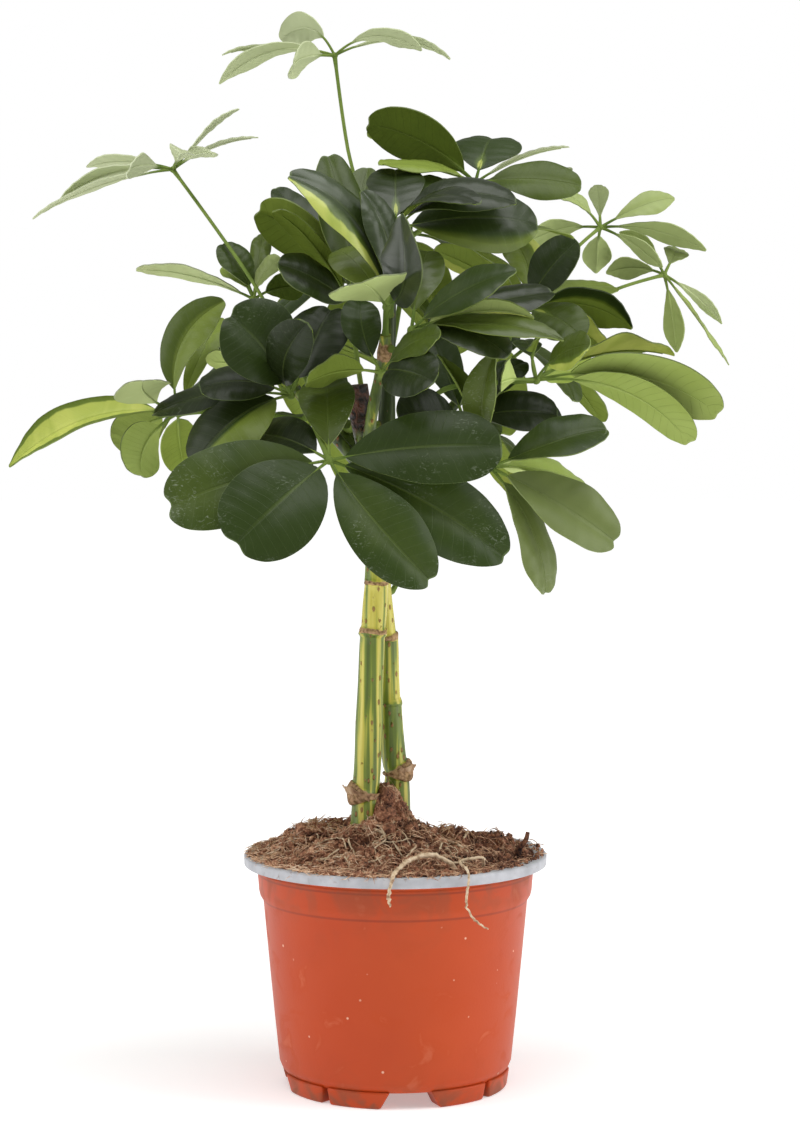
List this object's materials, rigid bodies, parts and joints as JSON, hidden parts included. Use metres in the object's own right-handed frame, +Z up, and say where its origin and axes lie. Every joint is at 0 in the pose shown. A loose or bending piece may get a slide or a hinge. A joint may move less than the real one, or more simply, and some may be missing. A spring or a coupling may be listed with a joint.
{
  "type": "potted umbrella plant",
  "caption": "Dwarf umbrella plant with variegated whorled leaves on striped canes, in peat soil in a round tapered nursery pot with a pale rim.",
  "frame": {"origin": "middle of the whole plant's footprint box, at the height of the pot's feet", "axes": "+Z up along the pot's axis, -Y the front, the side that the picture shows, +X to the right of that view"},
  "size_m": [0.3188, 0.2254, 0.4701],
  "materials": {
    "pot": "satin terracotta with a light grey rim and inside",
    "soil": "rough fibrous peat",
    "cane": "smooth bark striped green and yellow",
    "root": "dull",
    "leaf": "leathery, glossy above and dull and paler below",
    "leaf_young": "leathery and pale green"
  },
  "bodies": {
    "root": {"pot": "pot", "soil": "soil", "cane_left": "cane", "cane_right": "cane", "root_thick": "root", "root_thin": "root", "root_left_arch": "root", "root_left_low": "root", "root_right_arch": "root", "leaf_front": "leaf", "leaf_front_right": "leaf", "leaf_left_mid": "leaf", "leaf_centre": "leaf", "leaf_centre_right": "leaf", "leaf_centre_low": "leaf", "leaf_right": "leaf", "leaf_left": "leaf", "leaf_upper_mid": "leaf", "leaf_left_back": "leaf", "leaf_upper_left": "leaf_young", "leaf_upper_centre": "leaf", "leaf_right_back": "leaf", "leaf_low_right": "leaf", "leaf_upper_right": "leaf", "leaf_crown_top": "leaf_young", "leaf_far_right": "leaf_young", "leaf_far_right_low": "leaf_young", "leaf_back_left": "leaf", "leaf_back_centre": "leaf", "leaf_back_right": "leaf", "leaf_back_low": "leaf", "leaf_low_back": "leaf", "leaf_back_top": "leaf"}
  },
  "joints": []
}
